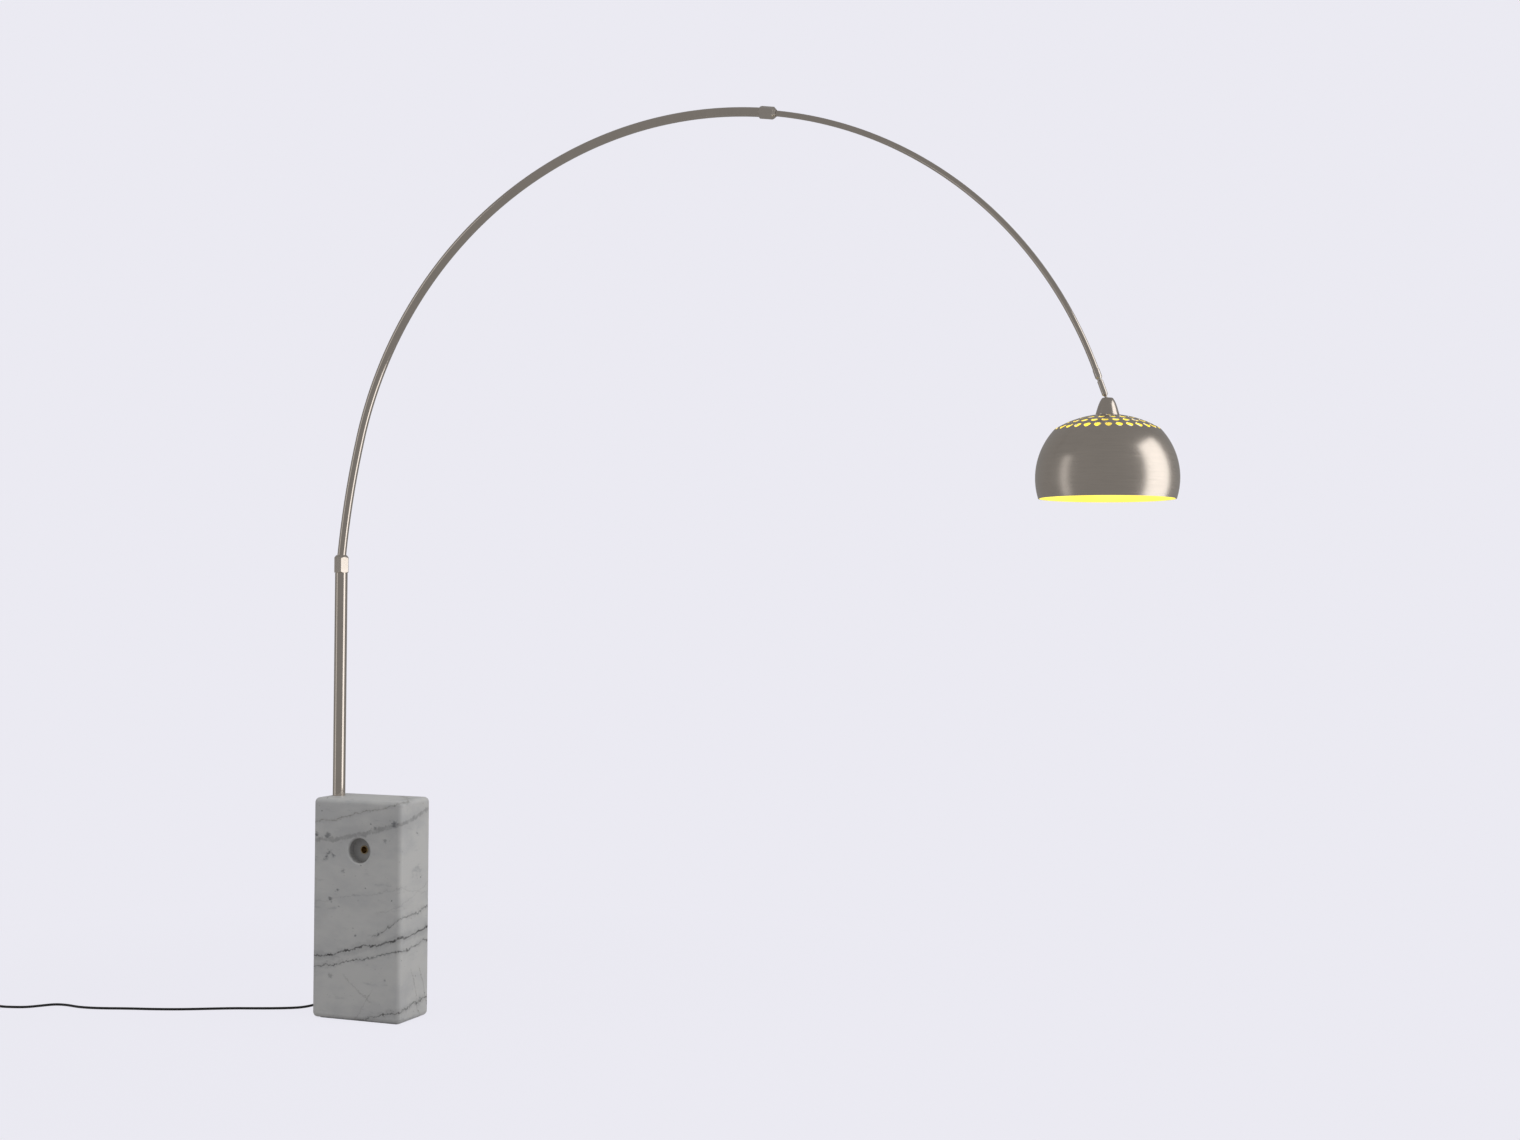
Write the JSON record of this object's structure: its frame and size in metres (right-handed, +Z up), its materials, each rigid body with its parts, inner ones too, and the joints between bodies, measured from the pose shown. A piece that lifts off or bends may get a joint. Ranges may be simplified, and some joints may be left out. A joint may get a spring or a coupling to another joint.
{
  "type": "arc floor lamp",
  "caption": "Arc floor lamp: upright marble block, steel pole, telescoping curved arm and swivelling perforated dome shade, with a corded foot switch and plug.",
  "frame": {"origin": "centre of the block's underside, on the floor", "axes": "+Z up; +X from the pole towards the shade; the arc lies in the plane Y = 0; the block's faces with the carrying hole face -Y and +Y"},
  "size_m": [3.0121, 0.5648, 2.1237],
  "materials": {
    "marble": "honed",
    "felt": "felt",
    "sleeve_brass": "satin",
    "tube_steel": "satin",
    "collar_steel": "polished",
    "fixing_steel": "zinc plated",
    "bush_brass": "turned",
    "collet_plastic": "moulded",
    "inner_flex": "satin",
    "shade_metal": "satin",
    "holder_plastic": "moulded",
    "holder_ceramic": "unglazed",
    "contact_brass": "plain",
    "bulb_metal": "threaded",
    "bulb_frosted": "frosted",
    "cord_black": "satin",
    "switch_black": "satin",
    "button_black": "moulded",
    "spring_steel": "drawn",
    "plug_black": "moulded",
    "pin_metal": "plated"
  },
  "bodies": {
    "base": {"marble_base": "marble", "base_felt": "felt", "carry_sleeve": "sleeve_brass", "pole_tube": "tube_steel", "pole_foot_plug": "fixing_steel", "foot_stud": "fixing_steel", "foot_washer": "fixing_steel", "foot_nut": "fixing_steel", "pole_top_bush": "bush_brass", "pole_flex": "inner_flex", "cord_boot": "cord_black", "supply_cord": "cord_black", "switch_bottom": "switch_black", "switch_top": "switch_black", "switch_screws": "fixing_steel", "switch_block": "holder_ceramic", "button_spring": "spring_steel", "coil_lead": "cord_black", "cord_coil": "cord_black", "plug_lead": "cord_black", "plug_body": "plug_black", "plug_pins": "pin_metal"},
    "collar_nut": {"collar_nut": "collar_steel"},
    "lower_arc": {"lower_arc_tube": "tube_steel", "collar_collet": "collet_plastic", "apex_collet": "collet_plastic", "lower_arc_flex": "inner_flex"},
    "apex_nut": {"apex_nut": "collar_steel"},
    "upper_arc": {"upper_arc_tube": "tube_steel", "tube_slider": "collet_plastic", "end_ferrule": "collar_steel", "upper_arc_flex": "inner_flex"},
    "arm": {"swivel_arm": "collar_steel", "arm_lock_nut": "fixing_steel", "arm_washer": "fixing_steel", "arm_flex": "inner_flex"},
    "shade": {"crown_cap": "shade_metal", "ball_seat": "collet_plastic", "shade_nipple": "fixing_steel", "shade_dome": "shade_metal", "shade_washer": "fixing_steel", "shade_nut": "fixing_steel", "holder_cap": "holder_plastic", "holder_shell": "holder_plastic", "holder_core": "holder_ceramic", "holder_screw_shell": "contact_brass", "holder_contact": "contact_brass", "head_flex": "inner_flex", "bulb_cap": "bulb_metal", "bulb_glass": "bulb_frosted", "bulb_contact": "contact_brass"},
    "switch_button": {"switch_button": "button_black"}
  },
  "joints": [
    {"name": "collar_turn", "type": "hinge", "parent": "base", "child": "collar_nut", "pos_m": [-0.094, 0, 1.09], "axis": [0, 0, 1], "range_deg": [0, 270]},
    {"name": "arc_swivel", "type": "hinge", "parent": "base", "child": "lower_arc", "pos_m": [-0.094, 0, 1.05], "axis": [0, 0, 1], "range_deg": [-25, 25]},
    {"name": "apex_turn", "type": "hinge", "parent": "lower_arc", "child": "apex_nut", "pos_m": [1.00972, 0, 2.10263], "axis": [0.9888, 0, -0.1495], "range_deg": [0, 270]},
    {"name": "arc_extension", "type": "hinge", "parent": "lower_arc", "child": "upper_arc", "pos_m": [0.8692, 0, 1.1735], "axis": [0, 1, 0], "range_deg": [-15, 8]},
    {"name": "arm_swivel", "type": "hinge", "parent": "upper_arc", "child": "arm", "pos_m": [1.7511, 0, 1.49798], "axis": [0.3453, 0, -0.9385], "range_deg": [-170, 170]},
    {"name": "shade_tilt", "type": "hinge", "parent": "arm", "child": "shade", "pos_m": [1.77576, 0, 1.43097], "axis": [0, 1, 0], "range_deg": [-30, 12]},
    {"name": "button_press", "type": "slide", "parent": "base", "child": "switch_button", "axis": [0, 0, -1], "range_m": [0, 0.003], "stiffness_N_per_m": 400, "deforming": ["button_spring"]}
  ]
}
